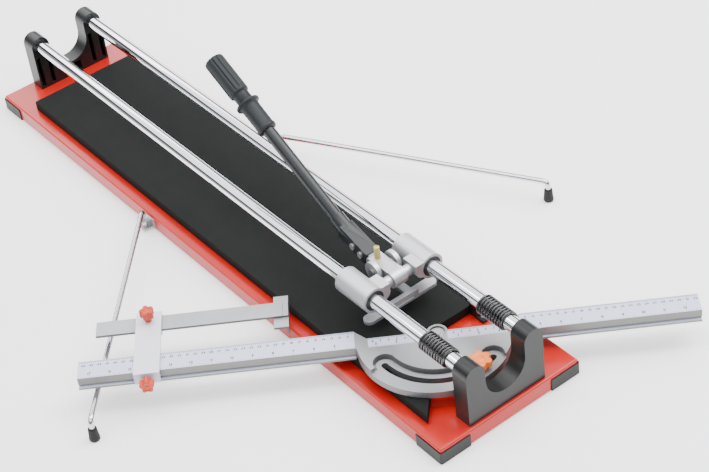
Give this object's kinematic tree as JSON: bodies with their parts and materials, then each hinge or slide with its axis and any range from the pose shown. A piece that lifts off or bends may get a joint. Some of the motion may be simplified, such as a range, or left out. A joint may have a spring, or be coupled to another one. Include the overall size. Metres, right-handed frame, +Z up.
{
  "type": "tile cutter",
  "caption": "Rail tile cutter: red tray base with rubber pads, chromed rails, scoring carriage with lever handle, turning protractor fence, ruler, stop bar and fold-out arms.",
  "frame": {"origin": "middle of the underside of the base, on the bench", "axes": "+X to the right across the base, +Y along the rails away from the protractor, +Z up"},
  "size_m": [0.7191, 1.1009, 0.2642],
  "materials": {
    "red_paint": "gloss",
    "galvanised": "satin",
    "black_cap": "satin",
    "pad_rubber": "matte",
    "ridge_steel": "satin",
    "bracket_black": "satin",
    "chrome": "polished",
    "spring_black": "gloss",
    "zinc_steel": "satin",
    "foot_rubber": "matte",
    "cast_alloy": "satin",
    "cast_protractor": "satin",
    "bush_black": "satin",
    "brass": "satin",
    "carbide": "satin",
    "handle_black": "satin",
    "grip_black": "satin",
    "anodised": "satin",
    "knob_orange": "gloss",
    "knob_red_orange": "gloss",
    "slider_white": "satin",
    "bar_steel": "satin"
  },
  "bodies": {
    "base": {"base_tray": "red_paint", "base_stiffener": "galvanised", "corner_cap_near_left": "black_cap", "corner_cap_near_right": "black_cap", "corner_cap_far_left": "black_cap", "corner_cap_far_right": "black_cap", "pad_left": "pad_rubber", "pad_right": "pad_rubber", "breaker_ridge": "ridge_steel", "near_bracket": "bracket_black", "far_bracket": "bracket_black", "rail_bolts": "zinc_steel", "bracket_screws": "zinc_steel", "rail_left": "chrome", "rail_right": "chrome", "spring_left": "spring_black", "spring_right": "spring_black", "square_stop": "bracket_black", "pivot_post": "zinc_steel", "pivot_washer": "zinc_steel", "pivot_screw": "zinc_steel", "clamp_post": "zinc_steel", "arm_bracket_left": "galvanised", "arm_bracket_right": "galvanised"},
    "support_arm_left": {"arm_left": "chrome", "arm_foot_left": "foot_rubber", "arm_rings_left": "zinc_steel"},
    "support_arm_right": {"arm_right": "chrome", "arm_foot_right": "foot_rubber", "arm_rings_right": "zinc_steel"},
    "carriage": {"housing_left": "cast_alloy", "housing_right": "cast_alloy", "bushes_left": "bush_black", "bushes_right": "bush_black", "cross_axle": "zinc_steel", "axle_clips": "zinc_steel"},
    "lever": {"lever_block": "cast_alloy", "ear_pin": "zinc_steel", "wheel_holder": "zinc_steel", "wheel_pin": "zinc_steel", "handle_socket": "handle_black", "socket_screws": "zinc_steel", "handle_tube": "handle_black", "handle_sleeve": "grip_black", "handle_collar": "grip_black", "handle_grip": "grip_black"},
    "adjusting_screw": {"adjusting_bolt": "brass"},
    "wheel": {"scoring_wheel": "carbide"},
    "breaker": {"breaker_foot": "cast_alloy", "breaker_pads": "foot_rubber"},
    "protractor_ruler": {"protractor": "cast_protractor", "ruler_left": "anodised", "ruler_right": "anodised", "ruler_screws": "zinc_steel"},
    "clamp_knob": {"protractor_knob": "knob_orange"},
    "slider_body": {"slider": "slider_white"},
    "top_knob": {"slider_knob_top": "knob_red_orange"},
    "front_knob": {"slider_knob_front": "knob_red_orange"},
    "stop": {"stop_bar": "bar_steel", "stop_plate": "bar_steel"}
  },
  "joints": [
    {"name": "carriage_slide", "type": "slide", "parent": "base", "child": "carriage", "axis": [0, 1, 0], "range_m": [-0.096, 0.73]},
    {"name": "handle", "type": "hinge", "parent": "carriage", "child": "lever", "pos_m": [0, -0.309, 0.0975], "axis": [-1, 0, 0], "range_deg": [-40, 26]},
    {"name": "breaker_swing", "type": "hinge", "parent": "lever", "child": "breaker", "pos_m": [0, -0.284, 0.1005], "axis": [-1, 0, 0], "range_deg": [-26, 40]},
    {"name": "wheel_spin", "type": "hinge", "parent": "lever", "child": "wheel", "pos_m": [0, -0.278, 0.0645], "axis": [1, 0, 0], "continuous": true},
    {"name": "adjusting_turn", "type": "hinge", "parent": "lever", "child": "adjusting_screw", "pos_m": [0, -0.273, 0.11], "axis": [0, 0, 1], "continuous": true},
    {"name": "protractor_turn", "type": "hinge", "parent": "base", "child": "protractor_ruler", "pos_m": [0, -0.382, 0.045], "axis": [0, 0, 1], "range_deg": [-9.6, 35.4]},
    {"name": "clamp_knob_turn", "type": "hinge", "parent": "base", "child": "clamp_knob", "pos_m": [0, -0.463, 0.052], "axis": [0, 0, 1], "continuous": true},
    {"name": "slider_slide", "type": "slide", "parent": "protractor_ruler", "child": "slider_body", "axis": [0.8151, -0.5793, 0], "range_m": [-0.068, 0.06]},
    {"name": "stop_slide", "type": "slide", "parent": "slider_body", "child": "stop", "axis": [0.8151, -0.5793, 0], "range_m": [-0.135, 0.03]},
    {"name": "top_knob_turn", "type": "hinge", "parent": "slider_body", "child": "top_knob", "pos_m": [-0.25145, -0.11436, 0.065], "axis": [0, 0, 1], "continuous": true},
    {"name": "front_knob_turn", "type": "hinge", "parent": "slider_body", "child": "front_knob", "pos_m": [-0.31082, -0.19791, 0.0485], "axis": [-0.5793, -0.8151, 0], "continuous": true},
    {"name": "arm_left_fold", "type": "hinge", "parent": "base", "child": "support_arm_left", "pos_m": [-0.119, 0.112, 0.01125], "axis": [0, 0, 1], "range_deg": [-47.7, 42.3]},
    {"name": "arm_right_fold", "type": "hinge", "parent": "base", "child": "support_arm_right", "pos_m": [0.119, 0.112, 0.01125], "axis": [0, 0, 1], "range_deg": [-28.9, 61.1]}
  ],
  "couplings": [
    {"joint": "breaker_swing", "follows": "handle", "ratio": -1}
  ]
}
